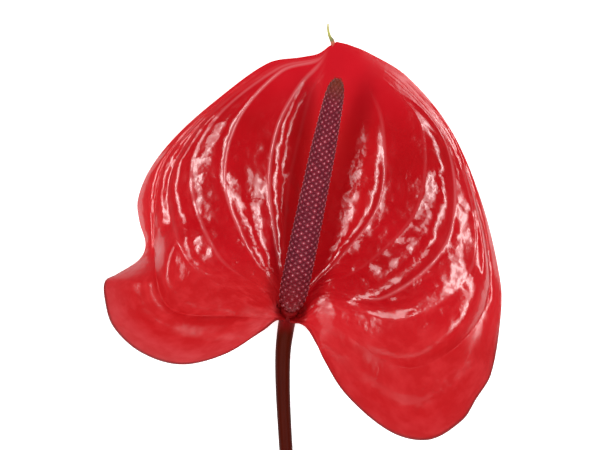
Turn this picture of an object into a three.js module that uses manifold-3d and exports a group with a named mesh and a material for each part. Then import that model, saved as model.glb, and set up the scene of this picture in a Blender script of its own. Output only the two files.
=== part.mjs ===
// A cut anthurium: its stalk (peduncle), its red heart-shaped spathe and the spadix on it.
// Millimetres, +Z up. The flower lies on its back: the spathe faces up, +Y points to its tip,
// and the stalk runs off to -Y. The origin is the middle of the whole part's footprint.
// Inside the group, x, y and z are counted from below the node, where the three pieces meet.
import * as THREE from "three";
import { mergeVertices } from "three/addons/utils/BufferGeometryUtils.js";
import Module from "manifold-3d";

// ---------- driving dimensions ----------
const FOOTPRINT_CENTRE = [4.3, -98];    // of the whole part, seen from the node
const JOIN_GAP = 0.3;                    // between the stalk and the spadix that sits on it

const STALK_SIDES = 16;
const STALK_RINGS = 40;
const STALK_TOP_ROUNDING = 0.9;

const SPADIX_SHARE_OLIVE = 0.12;         // the share at the tip where the florets are still flat
const FLORET_HEIGHT = 0.5;
const FLORET_COLUMNS = 20;               // round the spadix
const FLORET_ROWS = 39;                  // in each column, along the spadix

const SPATHE_THICKNESS = 0.9;
const STRIPS_PER_GAP = 3;                // mesh strips between two veins
const SPATHE_ROWS = 48;                  // mesh rows from the collar to the tip
const COLLAR_RADIUS = 3.4;               // the spathe's ring of attachment round the stalk
const COLLAR_DEPTH = 1.4;                // how far it sits below the stalk's top
const COLLAR_STEP = 24;                  // degrees round the collar from one vein to the next
const COLLAR_MIDRIB = 92;                // where the midrib starts on the collar, in degrees
const WIDE_GAP = 16;                     // blisters of wider gaps are no higher than this one's
const WIDE_BLISTER = 20;                 // and so is the innermost
const BLISTER_RISE = 0.3;                // the share of the length over which one rises to its height
const PUCKER = 0.2;                      // height of the cross puckers on the blisters
const PUCKERS = 11;                      // along the whole length of a vein
const EDGE_ROLL = 1.2;                   // how far the margin turns down at the very edge
const EDGE_ROLL_REACH = 2.5;             // and how far in that is felt
const REST_FLAT = 0.35;                  // what is lower than this lies flat on the table
const CUSP_SIDES = 8;
const CUSP_RINGS = 8;

// ---------- curves, as rows of [t, values ...] ----------
const STALK = [                          // x, y, height of the underside, radius
  [0.00, 15.0, -290, 0.0, 3.1],
  [0.39, 8.4, -175, 0.0, 2.8],
  [0.55, 5.6, -128, 0.0, 2.6],
  [0.69, 2.6, -90, 1.2, 2.4],
  [0.79, -0.3, -60, 2.6, 2.25],
  [0.87, -1.8, -38, 3.6, 2.3],
  [0.92, -2.4, -24, 4.1, 2.45],
  [0.95, -2.3, -14, 4.6, 2.6],
  [0.976, -1.4, -6.2, 5.7, 2.8],
  [0.989, -0.6, -1.8, 8.2, 2.9],
  [1.00, 0.0, 0.5, 10.8, 2.9],
];
const SPADIX = [                         // x, y, z of the middle line, above its foot
  [0.063, 0.8, 4.2, 17.3],
  [0.136, 1.9, 9.5, 18.5],
  [0.50, 7.7, 37.3, 22.0],
  [1.00, 15.6, 75.5, 28.0],
];
const SPADIX_RADIUS = [
  [0.00, 1.5], [0.03, 3.2], [0.07, 4.1], [0.12, 4.4], [0.35, 4.3], [0.50, 4.1],
  [0.70, 3.8], [0.80, 3.45], [0.92, 2.9], [0.96, 2.5], [0.985, 1.8], [1.00, 0.9],
];
const CUSP = [                           // x, y, z, radius
  [0.00, 14.0, 86.6, 8.0, 0.35],
  [0.30, 14.0, 88.4, 8.3, 0.75],
  [0.60, 13.0, 90.3, 9.6, 0.5],
  [0.85, 12.5, 92.6, 11.4, 0.4],
  [1.00, 12.5, 94.0, 13.0, 0.3],
];

// The spathe's veins from the midrib outwards, each as points at these shares of its length.
// The collar gives the first point of each, and the tip the last one.
const VEIN_SHARES = [0.1, 0.3, 0.5, 0.7, 0.85, 0.95];
const MIDRIB = [[0.5, 6], [2.5, 16], [5.5, 34.5], [8.5, 56.5], [11, 72.5], [13.2, 81.8]];
const LEFT_VEINS = [
  [[-1, 6.5], [-2, 19], [-0.5, 40.5], [3.5, 59], [6.8, 71.5], [11, 79.8]],
  [[-2.5, 6.5], [-4.5, 21], [-7, 42], [-4, 60.5], [3.2, 74], [9.6, 81]],
  [[-5.5, 8], [-14.5, 22], [-21.5, 43], [-17, 63], [-3, 78.6], [9.5, 82.6]],
  [[-8.5, 6.5], [-24, 18.5], [-32.5, 43], [-24.5, 63], [-4.2, 79.4], [9.4, 83]],
  [[-13, 4], [-33, 15.5], [-40, 41], [-28, 62.5], [-5.1, 80], [9.3, 83.3]],
  [[-16, -2], [-41.5, 3], [-43.5, 41], [-31, 61.5], [-6.1, 80.6], [9.2, 83.7]],
];
const RIGHT_VEINS = [
  [[2.5, 6.5], [7.5, 17], [14, 36.5], [19, 57], [19.8, 72], [16.3, 82.3]],
  [[5, 6], [16.5, 17], [29.5, 35.5], [30.5, 59.5], [26, 73.3], [17.8, 83]],
  [[8, 6.5], [25.5, 15.5], [42, 34], [43.5, 59.5], [33, 74.2], [19.1, 83.8]],
  [[10.5, 5], [31.5, 4.5], [52, 23], [52, 53.5], [35.8, 74.8], [20.2, 85.1]],
  [[12, 1.5], [38, -2.5], [60.5, 16], [54.5, 52.5], [36.7, 75.4], [20.5, 85.6]],
  [[12, -4.2], [41, -19], [65.5, 4.5], [56, 52], [37.6, 76], [20.9, 86.1]],
];
const TIP = [14, 87.6];
// The margins, as [share, x, y, z]: lobe, then up the side to the tip. Both start at the collar.
const LEFT_MARGIN = [
  [0.015, -4.6, -3.2, 13.7], [0.04, -9, -6.6, 12.2], [0.1, -21.5, -14.5, 9],
  [0.16, -36, -18, 4.5], [0.22, -49.5, -14, 0.7],
  [0.27, -58.5, -5.5, 1.6], [0.31, -61.2, 3.5, 3], [0.338, -61, 9.7, 4.2], [0.355, -57, 12, 4.2],
  [0.375, -50, 16.5, 3], [0.4, -47.8, 21.5, 1.8], [0.44, -49.8, 29, 0.7], [0.48, -50.4, 36, 1.8],
  [0.55, -46.5, 46, 4.5], [0.65, -37.5, 57.5, 6], [0.75, -24, 69.5, 6.5], [0.85, -7.3, 81.4, 7],
  [0.91, 3.5, 83.3, 7.8], [0.95, 9.1, 84.4, 8.2], [1, 12.8, 86.9, 8.4],
];
const RIGHT_MARGIN = [
  [0.02, 4.1, -4.1, 13.8], [0.05, 7.2, -7.2, 12.2], [0.1, 11, -16, 9.5], [0.17, 19, -28.5, 5],
  [0.24, 33.5, -40.5, 1.2], [0.29, 46, -43, 0.7], [0.34, 57, -36.5, 1.4], [0.37, 61.5, -29.5, 2.4],
  [0.405, 66.5, -21, 2.6], [0.47, 69.7, -1.5, 1.8], [0.515, 69.5, 10, 0.7], [0.62, 63.5, 35, 3.5],
  [0.74, 53, 59.5, 6.5], [0.85, 38.5, 77, 7.5], [0.92, 26.4, 84.5, 8],
  [0.96, 20, 87.2, 8.2], [1, 15.4, 88.4, 8.4],
];
const MIDRIB_HEIGHT = [
  [0, 11], [0.1, 10.6], [0.3, 8.6], [0.5, 7.6], [0.7, 7.8], [0.9, 8.6], [1, 8.4],
];
const CREST_HEIGHT = [                   // of each half, above a straight line from midrib to margin
  [0, 0], [0.1, 1.2], [0.3, 2.4], [0.5, 2.4], [0.7, 1.8], [0.85, 0.6], [0.95, 0.1], [1, 0],
];
// Each blister between two veins, from the midrib out: its height for each mm of its width, the
// shares of the veins' length where it starts and ends, and its top's share of the way across. The
// vein next to the midrib is too faint to part its two gaps, so they are one blister.
const LEFT_BLISTERS = [
  [0.1, 0.1, 1, 0.75], [0.15, 0, 0.62, 0.55], [0.09, 0.35, 1, 0.3],
  [0.12, 0.15, 0.85, 0.65], [0.1, -0.1, 0.9, 0.6], [0.16, -0.1, 0.9, 0.4],
];
const RIGHT_BLISTERS = [
  [0.08, -0.2, 0.8, 0.8], [0.04, 0, 0.75, 0.4], [0.15, 0.08, 0.75, 0.6],
  [0.09, 0, 0.6, 0.5], [0.13, 0.1, 0.9, 0.65], [0.1, 0, 0.8, 0.5],
];

// The values at t of a smooth curve through rows of [t, values ...].
function through(rows, t) {
  const last = rows.length - 1;
  let i = 0;
  while (i < last - 1 && t > rows[i + 1][0]) i += 1;
  const slope = (k, axis) => {
    const low = rows[Math.max(k - 1, 0)];
    const high = rows[Math.min(k + 1, last)];
    return (high[axis] - low[axis]) / (high[0] - low[0]);
  };
  const span = rows[i + 1][0] - rows[i][0];
  const u = (t - rows[i][0]) / span;
  return rows[i].slice(1).map((value, k) =>
    value * (2 * u ** 3 - 3 * u ** 2 + 1) +
    slope(i, k + 1) * span * (u ** 3 - 2 * u ** 2 + u) +
    rows[i + 1][k + 1] * (3 * u ** 2 - 2 * u ** 3) +
    slope(i + 1, k + 1) * span * (u ** 3 - u ** 2));
}

const { lerp, smoothstep } = THREE.MathUtils;

function geometryOf(points, faces) {
  const geometry = new THREE.BufferGeometry();
  const positions = points.flatMap((p) => [p.x, p.y, p.z]);
  geometry.setAttribute("position", new THREE.Float32BufferAttribute(positions, 3));
  geometry.setIndex(faces);
  return geometry;
}

// ---------- round pieces: rings along a middle line ----------
// One ring square to the line; radii has one radius for each side, from the right and over the top.
function ring(centre, direction, radii, turn) {
  const right = new THREE.Vector3(direction.y, -direction.x, 0).normalize();
  const up = new THREE.Vector3().crossVectors(right, direction).normalize();
  return radii.map((radius, j) => {
    const angle = 2 * Math.PI * (j + turn) / radii.length;
    return centre.clone()
      .addScaledVector(right, radius * Math.cos(angle))
      .addScaledVector(up, radius * Math.sin(angle));
  });
}

// A closed body over the rings. Where standsOut(i, j) is true the diagonals leave that vertex out.
function loft(rings, standsOut = () => false) {
  const sides = rings[0].length;
  const points = rings.flat();
  const faces = [];
  for (let i = 0; i + 1 < rings.length; i += 1) {
    for (let j = 0; j < sides; j += 1) {
      const a = i * sides + j;
      const b = i * sides + (j + 1) % sides;
      const c = a + sides;
      const d = b + sides;
      if (standsOut(i, j)) faces.push(a, c, b, b, c, d);
      else faces.push(a, d, b, a, c, d);
    }
  }
  const top = (rings.length - 1) * sides;
  const middle = (one) => one.reduce((sum, p) => sum.add(p), new THREE.Vector3()).divideScalar(sides);
  const first = points.push(middle(rings[0])) - 1;
  const last = points.push(middle(rings[rings.length - 1])) - 1;
  for (let j = 0; j < sides; j += 1) {
    const next = (j + 1) % sides;
    faces.push(first, j, next, last, top + next, top + j);
  }
  return geometryOf(points, faces);
}

// The middle line's point and direction at t, for rows whose first three values are x, y, z.
function along(rows, t) {
  const step = 0.002;
  const at = (s) => new THREE.Vector3(...through(rows, s).slice(0, 3));
  return { point: at(t), direction: at(t + step).sub(at(t - step)).normalize() };
}

// ---------- the stalk, with a flat underside where it lies on the table ----------
const stalkFlat = Math.cos(Math.PI / STALK_SIDES);
const stalkLine = STALK.map(([t, x, y, under, radius]) => [t, x, y, under + radius * stalkFlat]);
const stalkTop = along(stalkLine, 1);
const pastStalkTop = (distance) =>
  stalkTop.point.clone().addScaledVector(stalkTop.direction, distance);

function stalkGeometry() {
  const rings = [];
  for (let i = 0; i <= STALK_RINGS; i += 1) {
    const t = 1 - (1 - i / STALK_RINGS) ** 1.5;
    const radius = through(STALK, t)[3];
    const { point, direction } = along(stalkLine, t);
    rings.push(ring(point, direction, Array(STALK_SIDES).fill(radius), 0.5));
  }
  const narrow = Array(STALK_SIDES).fill(through(STALK, 1)[3] - STALK_TOP_ROUNDING);
  rings.push(ring(pastStalkTop(STALK_TOP_ROUNDING / 2), stalkTop.direction, narrow, 0.5));
  for (const p of rings.flat()) {
    if (p.z < 0.05) p.z = 0;
  }
  return loft(rings);
}

// ---------- the spadix, its florets standing out in staggered columns ----------
function spadixGeometry() {
  const foot = pastStalkTop(STALK_TOP_ROUNDING / 2 + JOIN_GAP);
  const line = [[0, ...foot.toArray()], ...SPADIX];
  const rings = [];
  const steps = 2 * FLORET_ROWS;
  const isFloret = (i, j) => (i + j) % 2 === 0;
  for (let i = 0; i <= steps; i += 1) {
    const t = i / steps;
    const { point, direction } = along(line, t);
    const height = FLORET_HEIGHT * Math.min(1, i / 3, (1 - t) / SPADIX_SHARE_OLIVE);
    const radii = Array.from({ length: FLORET_COLUMNS }, (_, j) =>
      through(SPADIX_RADIUS, t)[0] + (isFloret(i, j) ? height : 0));
    rings.push(ring(point, i ? direction : stalkTop.direction, radii, 0));
  }
  return loft(rings, isFloret);
}

// ---------- the spathe ----------
const GAPS = LEFT_VEINS.length + 1;      // gaps between veins on each side, the last at the margin

// A point of the collar, the ring round the stalk that every vein starts from.
function collarPoint(vein) {
  const angle = THREE.MathUtils.degToRad(COLLAR_MIDRIB - COLLAR_STEP * vein);
  const centre = pastStalkTop(-COLLAR_DEPTH);
  const right = new THREE.Vector3(stalkTop.direction.y, -stalkTop.direction.x, 0).normalize();
  const back = new THREE.Vector3().crossVectors(stalkTop.direction, right);
  return centre
    .addScaledVector(right, COLLAR_RADIUS * Math.cos(angle))
    .addScaledVector(back, COLLAR_RADIUS * Math.sin(angle));
}

// A vein as rows for through(); vein counts from the midrib, left below zero, right above.
function veinRows(points, vein) {
  const start = collarPoint(vein);
  const [, x, y] = (vein < 0 ? LEFT_MARGIN : RIGHT_MARGIN).at(-1);
  const out = Math.abs(vein) / GAPS;
  return [
    [0, start.x, start.y],
    ...points.map((p, k) => [VEIN_SHARES[k], ...p]),
    [1, lerp(TIP[0], x, out), lerp(TIP[1], y, out)],
  ];
}

function marginRows(rows, vein) {
  const start = collarPoint(vein);
  return [[0, start.x, start.y, start.z], ...rows];
}

// A crest's place is its share of the way out to the margin.
const SIDES = [
  {
    sign: -1,
    veins: LEFT_VEINS,
    margin: marginRows(LEFT_MARGIN, -GAPS),
    crestPlace: 0.66,
    blisters: LEFT_BLISTERS,
  },
  {
    sign: 1,
    veins: RIGHT_VEINS,
    margin: marginRows(RIGHT_MARGIN, GAPS),
    crestPlace: 0.7,
    blisters: RIGHT_BLISTERS,
  },
];
for (const side of SIDES) {
  side.rows = [
    veinRows(MIDRIB, 0),
    ...side.veins.map((points, k) => veinRows(points, side.sign * (k + 1))),
    side.margin,
  ];
}

// An arch from 0 to 0, as high as 1 at the top's share of its span.
function archAt(share, top) {
  return Math.sin(Math.PI * share ** (Math.log(0.5) / Math.log(top)));
}

// One side's half row at share s: points from the midrib out to the margin.
function halfRow(side, s) {
  const posts = side.rows.map((rows) => through(rows, s));
  const gapWidth = (k) => Math.hypot(posts[k + 1][0] - posts[k][0], posts[k + 1][1] - posts[k][1]);
  const guide = [[0, ...posts[0]]];
  for (let k = 0; k < GAPS; k += 1) guide.push([guide[k][0] + gapWidth(k), ...posts[k + 1].slice(0, 2)]);
  const plan = [];
  const reach = [0];
  for (let j = 0; j <= GAPS * STRIPS_PER_GAP; j += 1) {
    const gap = Math.min(Math.floor(j / STRIPS_PER_GAP), GAPS - 1);
    plan.push(through(guide, lerp(guide[gap][0], guide[gap + 1][0], j / STRIPS_PER_GAP - gap)));
    if (j) reach.push(reach[j - 1] + Math.hypot(plan[j][0] - plan[j - 1][0], plan[j][1] - plan[j - 1][1]));
  }
  const width = reach[reach.length - 1];
  const [midribZ] = through(MIDRIB_HEIGHT, s);
  const [crest] = through(CREST_HEIGHT, s);
  const edgeZ = posts[GAPS][2];
  const settled = smoothstep(s, 0, 0.12);
  const roll = EDGE_ROLL * settled * (1 - smoothstep(s, 0.93, 1)) * smoothstep(gapWidth(GAPS - 1), 0, 7);
  const innerWidth = reach[2 * STRIPS_PER_GAP];
  return plan.map(([x, y], j) => {
    const vein = j / STRIPS_PER_GAP;
    const gap = Math.min(Math.floor(vein), GAPS - 1);
    const u = reach[j] / width;
    const dome = lerp(midribZ, edgeZ + roll, u ** 3) + crest * archAt(u, side.crestPlace);
    const edge = roll * Math.exp(-(width - reach[j]) / EDGE_ROLL_REACH);
    const isInner = vein < 2;
    const span = isInner ? Math.min(innerWidth, WIDE_BLISTER) : Math.min(gapWidth(gap), WIDE_GAP);
    const wayUp = isInner ? Math.min(reach[j] / innerWidth, 1) : vein - gap;
    const [height, start, end, top] = side.blisters[Math.max(gap - 1, 0)];
    const swell = smoothstep(s, start, start + BLISTER_RISE) * (1 - smoothstep(s, end - BLISTER_RISE, end));
    const blister = height * span * swell * archAt(wayUp, top);
    const quilt = Math.abs(Math.sin(Math.PI * (PUCKERS * s + 0.37 * gap * side.sign + 0.3 * vein)));
    const pucker = PUCKER * (quilt - 0.6) * smoothstep(gapWidth(gap), 2, 8) *
      (1 - smoothstep(vein, 4.2, GAPS));
    const relief = blister + Math.sin(Math.PI * (vein - gap)) * pucker;
    const z = lerp(collarPoint(side.sign * vein).z, dome - edge + relief, settled);
    return new THREE.Vector3(x, y, z);
  });
}

// The blade: rows of points from the left margin to the right one, and the same again below.
function bladeGeometry() {
  const columns = 2 * GAPS * STRIPS_PER_GAP + 1;
  const rows = SPATHE_ROWS + 1;
  const upper = [];
  for (let i = 0; i < rows; i += 1) {
    const [left, right] = SIDES.map((side) => halfRow(side, i / SPATHE_ROWS));
    upper.push(...left.reverse(), ...right.slice(1));
  }
  const upperFaces = [];
  for (let i = 0; i + 1 < rows; i += 1) {
    for (let j = 0; j + 1 < columns; j += 1) {
      const a = i * columns + j;
      const c = a + columns;
      upperFaces.push([a, a + 1, c + 1], [a, c + 1, c]);
    }
  }
  const sheet = geometryOf(upper, upperFaces.flat());
  sheet.computeVertexNormals();
  const lower = upper.map((p, k) => {
    const normal = new THREE.Vector3().fromBufferAttribute(sheet.attributes.normal, k);
    const share = Math.floor(k / columns) / SPATHE_ROWS;
    normal.lerp(new THREE.Vector3(0, 0, 1), smoothstep(share, 0.88, 0.97)).normalize();
    const below = p.clone().addScaledVector(normal, -SPATHE_THICKNESS);
    if (below.z < REST_FLAT) below.z = 0;
    return below;
  });
  const under = upper.length;
  const lowerFaces = upperFaces.map(([a, b, c]) => [under + a, under + c, under + b]);
  const outline = [];
  for (let j = 0; j + 1 < columns; j += 1) outline.push(j);
  for (let i = 0; i + 1 < rows; i += 1) outline.push(i * columns + columns - 1);
  for (let j = columns - 1; j > 0; j -= 1) outline.push((rows - 1) * columns + j);
  for (let i = rows - 1; i > 0; i -= 1) outline.push(i * columns);
  const wall = outline.flatMap((p, k) => {
    const q = outline[(k + 1) % outline.length];
    return [under + p, under + q, q, under + p, q, p];
  });
  return geometryOf([...upper, ...lower], [...upperFaces.flat(), ...lowerFaces.flat(), ...wall]);
}

function cuspGeometry() {
  const rings = [];
  for (let i = 0; i <= CUSP_RINGS; i += 1) {
    const t = i / CUSP_RINGS;
    const { point, direction } = along(CUSP, t);
    rings.push(ring(point, direction, Array(CUSP_SIDES).fill(through(CUSP, t)[3]), 0));
  }
  return loft(rings);
}

const wasm = await Module();
wasm.setup();

function solidOf(geometry) {
  const merged = mergeVertices(geometry);
  return new wasm.Manifold(new wasm.Mesh({
    numProp: 3,
    vertProperties: new Float32Array(merged.attributes.position.array),
    triVerts: new Uint32Array(merged.index.array),
  }));
}

function spatheGeometry() {
  const joined = solidOf(bladeGeometry()).add(solidOf(cuspGeometry())).getMesh();
  const geometry = new THREE.BufferGeometry();
  geometry.setAttribute("position", new THREE.BufferAttribute(joined.vertProperties, 3));
  geometry.setIndex(new THREE.BufferAttribute(joined.triVerts, 1));
  return geometry;
}

// ---------- the pieces ----------
const flower = new THREE.Group();
flower.position.set(-FOOTPRINT_CENTRE[0], -FOOTPRINT_CENTRE[1], 0);

function addPiece(name, geometry, color, roughness) {
  geometry.computeVertexNormals();
  const material = new THREE.MeshStandardMaterial({ color, roughness, metalness: 0 });
  const piece = new THREE.Mesh(geometry, material);
  piece.name = name;
  flower.add(piece);
}

addPiece("peduncle", stalkGeometry(), 0x4b150d, 0.4);
addPiece("spathe", spatheGeometry(), 0xc8141f, 0.15);
addPiece("spadix", spadixGeometry(), 0x6a2136, 0.5);

export default flower;
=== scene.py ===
import math
import bmesh
import bpy
import numpy as np
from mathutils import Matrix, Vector


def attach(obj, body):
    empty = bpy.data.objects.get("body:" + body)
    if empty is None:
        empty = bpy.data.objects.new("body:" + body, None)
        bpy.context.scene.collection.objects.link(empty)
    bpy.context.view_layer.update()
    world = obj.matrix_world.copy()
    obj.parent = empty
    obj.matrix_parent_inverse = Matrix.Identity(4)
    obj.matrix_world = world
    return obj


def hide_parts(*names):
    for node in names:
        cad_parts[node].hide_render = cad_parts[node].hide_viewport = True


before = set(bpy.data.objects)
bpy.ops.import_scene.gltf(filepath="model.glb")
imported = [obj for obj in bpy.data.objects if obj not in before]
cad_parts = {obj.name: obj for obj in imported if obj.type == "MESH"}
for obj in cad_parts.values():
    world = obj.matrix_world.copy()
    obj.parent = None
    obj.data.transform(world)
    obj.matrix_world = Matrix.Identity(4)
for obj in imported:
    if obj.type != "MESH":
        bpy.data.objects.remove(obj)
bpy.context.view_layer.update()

# ---------- Camera ----------
# It hangs far above the lying flower and looks straight down, with the spathe's tip at the top of
# the frame. Up to the table's section, sizes are in mm and places are seen from the neck, where
# the spathe and the spadix join the stalk.
MM = 0.001
FOOTPRINT_CENTRE = (4.3, -98.0)          # the middle of the whole lying flower
VIEW_CENTRE = (3.3, 28.05)
VIEW_WIDTH = 198.0                       # across the frame, at the height below
VIEW_HEIGHT = 4.0
CAMERA_RISE = 1600.0
SENSOR_WIDTH = 36.0
NEAR_CLIP = 50.0

camera = bpy.data.objects.new("camera", bpy.data.cameras.new("camera"))
bpy.context.collection.objects.link(camera)
camera.location = (
    (VIEW_CENTRE[0] - FOOTPRINT_CENTRE[0]) * MM,
    (VIEW_CENTRE[1] - FOOTPRINT_CENTRE[1]) * MM,
    (VIEW_HEIGHT + CAMERA_RISE) * MM)
camera.data.sensor_width = SENSOR_WIDTH
camera.data.lens = SENSOR_WIDTH * CAMERA_RISE / VIEW_WIDTH
camera.data.clip_start = NEAR_CLIP * MM
bpy.context.scene.camera = camera

# ---------- Stalk ----------
# A smooth fleshy stalk, dark red-brown, thicker at its cut end and bent up at the neck, where the
# spathe's base clasps it. It is one tube swept along its middle line, cut square at the end.
STALK = np.array([                       # share, x, y, height of the underside, radius
    [0.00, 15.0, -290, 0.0, 3.1],
    [0.39, 8.4, -175, 0.0, 2.8],
    [0.55, 5.6, -128, 0.0, 2.6],
    [0.69, 2.6, -90, 1.2, 2.4],
    [0.79, -0.3, -60, 2.6, 2.25],
    [0.87, -1.8, -38, 3.6, 2.3],
    [0.92, -2.4, -24, 4.1, 2.45],
    [0.95, -2.3, -14, 4.6, 2.6],
    [0.976, -1.4, -6.2, 5.7, 2.8],
    [0.989, -0.6, -1.8, 8.2, 2.9],
    [1.00, 0.0, 0.5, 10.8, 2.9],
])
STALK_FLAT = math.cos(math.pi / 16)      # the underside lies this share of the radius down
STALK_TOP_ROUNDING = 0.9
STALK_RINGS = 240
STALK_SIDES = 40
RING_CROWDING = 1.3                      # how the rings crowd towards the neck


def through(rows, t):
    """Values at each t of a smooth curve through rows of [t, values ...]."""
    rows = np.asarray(rows, float)
    t = np.atleast_1d(np.asarray(t, float))
    knots, values = rows[:, 0], rows[:, 1:]
    slopes = np.empty_like(values)
    slopes[1:-1] = (values[2:] - values[:-2]) / (knots[2:] - knots[:-2])[:, None]
    slopes[0] = (values[1] - values[0]) / (knots[1] - knots[0])
    slopes[-1] = (values[-1] - values[-2]) / (knots[-1] - knots[-2])
    i = np.clip(np.searchsorted(knots, t, side="left") - 1, 0, len(knots) - 2)
    span = (knots[i + 1] - knots[i])[:, None]
    u = ((t - knots[i]) / span[:, 0])[:, None]
    return (values[i] * (2 * u ** 3 - 3 * u ** 2 + 1) + slopes[i] * span * (u ** 3 - 2 * u ** 2 + u)
            + values[i + 1] * (3 * u ** 2 - 2 * u ** 3) + slopes[i + 1] * span * (u ** 3 - u ** 2))


def placed(points):
    """Points in mm from the neck, as points in metres of the shared frame."""
    return (np.asarray(points, float) - [*FOOTPRINT_CENTRE, 0]) * MM


def unit(vectors):
    """Vectors brought to a length of one."""
    return vectors / np.linalg.norm(vectors, axis=-1, keepdims=True)


def stalk_line(t):
    """Points of the stalk's middle line in mm, and its radius there."""
    x, y, under, radius = through(STALK, t).T
    return np.stack([x, y, np.maximum(under, 0) + radius * STALK_FLAT], 1), radius


def new_tree(tree_name, *inputs):
    """A node tree from geometry to geometry, with more inputs, each a name and a kind."""
    tree = bpy.data.node_groups.new(tree_name, "GeometryNodeTree")
    for name, kind in (("Geometry", "Geometry"), *inputs):
        tree.interface.new_socket(name, in_out="INPUT", socket_type=f"NodeSocket{kind}")
    tree.interface.new_socket("Geometry", in_out="OUTPUT", socket_type="NodeSocketGeometry")
    return tree


def stalk_tree():
    """Sweeps a round section along the stalk's middle line and closes its ends."""
    tree = new_tree("stalk_sweep", ("Sides", "Int"), ("Skin", "Material"))
    node, wire = tree.nodes.new, tree.links.new
    given, made = node("NodeGroupInput"), node("NodeGroupOutput")
    section = node("GeometryNodeCurvePrimitiveCircle")
    section.inputs["Radius"].default_value = 1.0
    radius = node("GeometryNodeInputRadius")
    sweep = node("GeometryNodeCurveToMesh")
    sweep.inputs["Fill Caps"].default_value = True
    shade = node("GeometryNodeSetShadeSmooth")
    skin = node("GeometryNodeSetMaterial")
    realize = node("GeometryNodeRealizeInstances")
    wire(given.outputs["Sides"], section.inputs["Resolution"])
    wire(given.outputs["Geometry"], sweep.inputs["Curve"])
    wire(section.outputs["Curve"], sweep.inputs["Profile Curve"])
    wire(radius.outputs[0], sweep.inputs["Scale"])
    wire(sweep.outputs["Mesh"], shade.inputs["Geometry"])
    wire(shade.outputs["Geometry"], realize.inputs["Geometry"])
    wire(realize.outputs["Geometry"], skin.inputs["Geometry"])
    wire(given.outputs["Skin"], skin.inputs["Material"])
    wire(skin.outputs["Geometry"], made.inputs["Geometry"])
    return tree


def set_inputs(modifier, **values):
    """Sets a modifier's inputs, each found by its name and set by its identifier."""
    for item in modifier.node_group.interface.items_tree:
        if item.item_type == "SOCKET" and item.in_out == "INPUT" and item.name in values:
            modifier[item.identifier] = values[item.name]


def middle_line(name, centres, radii):
    """A curve object through points in mm, with a radius in mm at each."""
    curve = bpy.data.curves.new(name, "CURVE")
    curve.dimensions = "3D"
    spline = curve.splines.new("POLY")
    spline.points.add(len(centres) - 1)
    for point, centre, radius in zip(spline.points, placed(centres), radii * MM):
        point.co = (*centre, 1)
        point.radius = radius
    line = bpy.data.objects.new(name, curve)
    bpy.context.collection.objects.link(line)
    return line


def made_plain(name, source):
    """The evaluated result of an object's modifiers as a new plain mesh object."""
    depsgraph = bpy.context.evaluated_depsgraph_get()
    mesh = bpy.data.meshes.new_from_object(source.evaluated_get(depsgraph), depsgraph=depsgraph)
    bpy.data.objects.remove(source)
    mesh.name = name
    piece = bpy.data.objects.new(name, mesh)
    bpy.context.collection.objects.link(piece)
    return piece


def new_skin(name):
    """A material, its nodes, its links and its shader."""
    material = bpy.data.materials.new(name)
    material.use_nodes = True
    tree = material.node_tree
    return material, tree.nodes, tree.links, tree.nodes["Principled BSDF"]


stalk_skin, nodes, links, shader = new_skin("stalk_skin")
share = 1 - (1 - np.linspace(0, 1, STALK_RINGS)) ** RING_CROWDING
centres, radii = stalk_line(share)
onward = unit(centres[-1] - centres[-2])
centres = np.vstack([centres, centres[-1] + onward * STALK_TOP_ROUNDING / 2])
radii = np.append(radii, radii[-1] - STALK_TOP_ROUNDING)
line = middle_line("stalk_line", centres, radii * STALK_FLAT)
modifier = line.modifiers.new("sweep", "NODES")
modifier.node_group = stalk_tree()
set_inputs(modifier, Sides=STALK_SIDES, Skin=stalk_skin)
stalk = made_plain("stalk", line)
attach(stalk, "root")
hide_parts("peduncle")

# The stalk's skin is dark red-brown and half glossy, with faint lengthwise streaks. It turns the
# spathe's dark red where the spathe clasps it.
STALK_DARK = (0.038, 0.0024, 0.0004)
STALK_RED = (0.064, 0.0042, 0.0008)
NECK_RED = (0.150, 0.0020, 0.0030)
RED_FROM, RED_TO = -9.0, -2.5            # y over which the neck turns red
STREAKS = (900, 40, 900)                 # to the metre, each way: they run along the stalk
STALK_ROUGHNESS = 0.45
STALK_SPECULAR = 0.04
RIPPLE = (0.25, 0.0002)                  # strength, and depth in metres


def noise(scale, detail=3, roughness=0.5, vector=None):
    node = nodes.new("ShaderNodeTexNoise")
    node.inputs["Scale"].default_value = scale
    node.inputs["Detail"].default_value = detail
    node.inputs["Roughness"].default_value = roughness
    links.new(vector or nodes.new("ShaderNodeTexCoord").outputs["Object"], node.inputs["Vector"])
    return node.outputs["Fac"]


def blend(factor, first, second):
    """Two colours mixed; each is a socket or plain values."""
    node = nodes.new("ShaderNodeMix")
    node.data_type = "RGBA"
    links.new(factor, node.inputs[0])
    for socket, value in ((6, first), (7, second)):
        if isinstance(value, bpy.types.NodeSocket):
            links.new(value, node.inputs[socket])
        else:
            node.inputs[socket].default_value = (*value, 1)
    return node.outputs[2]


def bump(height, strength, depth, onto=None):
    """Relief of a depth in metres, over an earlier relief if one is given."""
    node = nodes.new("ShaderNodeBump")
    node.inputs["Strength"].default_value = strength
    node.inputs["Distance"].default_value = depth
    links.new(height, node.inputs["Height"])
    if onto:
        links.new(onto, node.inputs["Normal"])
    return node.outputs["Normal"]


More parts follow.
